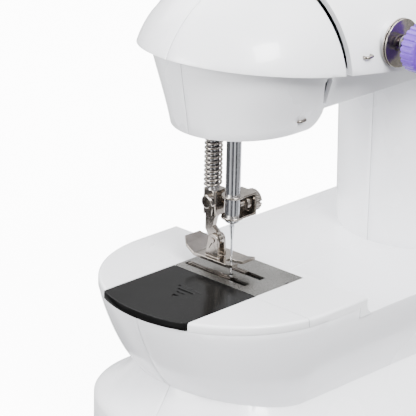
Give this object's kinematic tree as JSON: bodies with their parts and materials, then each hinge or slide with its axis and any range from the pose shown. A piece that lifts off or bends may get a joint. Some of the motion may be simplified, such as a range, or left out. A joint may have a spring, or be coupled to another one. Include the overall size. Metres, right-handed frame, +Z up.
{
  "type": "sewing machine",
  "caption": "Small white domestic sewing machine with a domed head, free needle and presser bars, stepped bed, sliding bobbin cover, handwheel and inner drive.",
  "frame": {"origin": "middle of the footprint, on the table plane under the feet", "axes": "+X towards the handwheel, -Y towards the user, +Z up"},
  "size_m": [0.214, 0.122, 0.2097],
  "materials": {
    "white_shell": "gloss",
    "white_deck": "gloss",
    "black_cover": "gloss",
    "foot_rubber": "matte",
    "purple_dial": "satin",
    "grey_knob": "matte",
    "nickel": "polished",
    "plate_steel": "polished",
    "dark_steel": "satin",
    "needle_steel": "polished",
    "frame_metal": "cast",
    "bush_brass": "satin",
    "belt_rubber": "matte",
    "gear_plastic": "matte",
    "bobbin_plastic": "gloss",
    "board_green": "matte",
    "jack_black": "matte"
  },
  "bodies": {
    "casing": {"base_front": "white_shell", "base_rear": "white_shell", "bed_deck": "white_deck", "nose_deck": "white_deck", "needle_plate": "plate_steel", "base_plate": "white_shell", "rubber_feet": "foot_rubber", "arm_front": "white_shell", "arm_rear": "white_shell", "case_screws": "nickel", "thread_guides": "nickel", "chassis": "frame_metal", "shaft_bushes": "bush_brass", "lower_bushes": "bush_brass", "bed_frame": "frame_metal", "feed_rod": "dark_steel", "timing_belt": "belt_rubber", "drive_belt": "belt_rubber", "motor": "frame_metal", "bobbin_case": "jack_black", "tension_stud": "nickel", "tension_discs": "nickel", "tension_spring": "dark_steel", "switch_board": "board_green", "power_jack": "jack_black", "pedal_jack": "jack_black"},
    "main_shaft": {"main_shaft": "dark_steel", "crank_disc": "dark_steel", "handwheel": "white_deck", "upper_pulley": "gear_plastic", "drive_pulley": "gear_plastic"},
    "connecting_link": {"connecting_link": "dark_steel"},
    "lower_shaft": {"lower_shaft": "dark_steel", "lower_pulley": "gear_plastic", "face_gear": "gear_plastic"},
    "hook": {"hook": "dark_steel"},
    "bobbin": {"bobbin": "bobbin_plastic"},
    "motor_rotor": {"motor_pulley": "frame_metal"},
    "needle_bar": {"needle_bar": "needle_steel", "needle_block": "dark_steel", "needle_clamp": "nickel", "clamp_screw": "nickel", "needle": "needle_steel"},
    "take_up_lever": {"take_up_lever": "nickel"},
    "presser": {"presser_bar": "needle_steel", "presser_spring": "nickel", "presser_bracket": "dark_steel", "foot_shank": "nickel", "shank_screw": "nickel"},
    "foot_sole": {"foot_sole": "nickel", "foot_pin": "nickel"},
    "lifter": {"lifter_lever": "white_deck"},
    "feed_carriage": {"feed_carriage": "dark_steel"},
    "feed_dog": {"feed_dog": "nickel"},
    "bobbin_cover": {"bobbin_cover": "black_cover"},
    "tension_dial": {"tension_dial": "purple_dial"},
    "power_button": {"power_button": "grey_knob"},
    "speed_button": {"speed_button": "grey_knob"},
    "spool_pin": {"spool_pin": "white_deck"},
    "battery_door": {"battery_door": "white_shell"}
  },
  "joints": [
    {"name": "main_shaft_spin", "type": "hinge", "parent": "casing", "child": "main_shaft", "pos_m": [0, 0, 0.18173], "axis": [1, 0, 0], "continuous": true},
    {"name": "link_pivot", "type": "hinge", "parent": "main_shaft", "child": "connecting_link", "pos_m": [-0.0485, 0.01095, 0.18273], "axis": [1, 0, 0], "continuous": true},
    {"name": "lower_shaft_spin", "type": "hinge", "parent": "casing", "child": "lower_shaft", "pos_m": [0, 0, 0.045], "axis": [1, 0, 0], "continuous": true},
    {"name": "hook_spin", "type": "hinge", "parent": "casing", "child": "hook", "pos_m": [-0.0738, 0, 0.061], "axis": [0, 0, 1], "continuous": true},
    {"name": "bobbin_spin", "type": "hinge", "parent": "casing", "child": "bobbin", "pos_m": [-0.0738, 0, 0.061], "axis": [0, 0, 1], "continuous": true},
    {"name": "motor_spin", "type": "hinge", "parent": "casing", "child": "motor_rotor", "pos_m": [0, -0.016, 0.118], "axis": [1, 0, 0], "continuous": true},
    {"name": "needle_bar_slide", "type": "slide", "parent": "casing", "child": "needle_bar", "axis": [0, 0, 1], "range_m": [-0.012, 0.01]},
    {"name": "take_up_swing", "type": "hinge", "parent": "casing", "child": "take_up_lever", "pos_m": [-0.0383, -0.0057, 0.1654], "axis": [1, 0, 0], "range_deg": [0, 48]},
    {"name": "presser_slide", "type": "slide", "parent": "casing", "child": "presser", "axis": [0, 0, 1], "range_m": [-0.0032, 0], "deforming": ["presser_spring"]},
    {"name": "foot_hinge", "type": "hinge", "parent": "presser", "child": "foot_sole", "pos_m": [-0.0533, 0.0082, 0.0928], "axis": [1, 0, 0], "range_deg": [-4, 4]},
    {"name": "lifter_swing", "type": "hinge", "parent": "casing", "child": "lifter", "pos_m": [-0.0453, 0.0212, 0.155], "axis": [0, 1, 0], "range_deg": [0, 90]},
    {"name": "feed_slide", "type": "slide", "parent": "casing", "child": "feed_carriage", "axis": [0, 1, 0], "range_m": [-0.0012, 0.0012]},
    {"name": "feed_drop", "type": "slide", "parent": "feed_carriage", "child": "feed_dog", "axis": [0, 0, 1], "range_m": [-0.0018, 0]},
    {"name": "cover_slide", "type": "slide", "parent": "casing", "child": "bobbin_cover", "axis": [-1, 0, 0], "range_m": [0, 0.046]},
    {"name": "tension_turn", "type": "hinge", "parent": "casing", "child": "tension_dial", "pos_m": [-0.0108, -0.0608, 0.1786], "axis": [0, -1, 0], "range_deg": [0, 300]},
    {"name": "power_button_push", "type": "slide", "parent": "casing", "child": "power_button", "axis": [0, 1, 0], "range_m": [0, 0.0018], "stiffness_N_per_m": 200},
    {"name": "speed_button_push", "type": "slide", "parent": "casing", "child": "speed_button", "axis": [0, 1, 0], "range_m": [0, 0.0018], "stiffness_N_per_m": 200},
    {"name": "spool_pin_pull", "type": "slide", "parent": "casing", "child": "spool_pin", "axis": [0, 0, 1], "range_m": [0, 0.035]},
    {"name": "battery_door_slide", "type": "slide", "parent": "casing", "child": "battery_door", "axis": [0, 1, 0], "range_m": [0, 0.09]}
  ],
  "couplings": [
    {"joint": "link_pivot", "follows": "main_shaft_spin", "ratio": -1},
    {"joint": "lower_shaft_spin", "follows": "main_shaft_spin", "ratio": 1},
    {"joint": "hook_spin", "follows": "main_shaft_spin", "ratio": -2},
    {"joint": "motor_spin", "follows": "main_shaft_spin", "ratio": 4.25},
    {"joint": "lifter_swing", "follows": "presser_slide", "rad_per_m": -490.87}
  ]
}
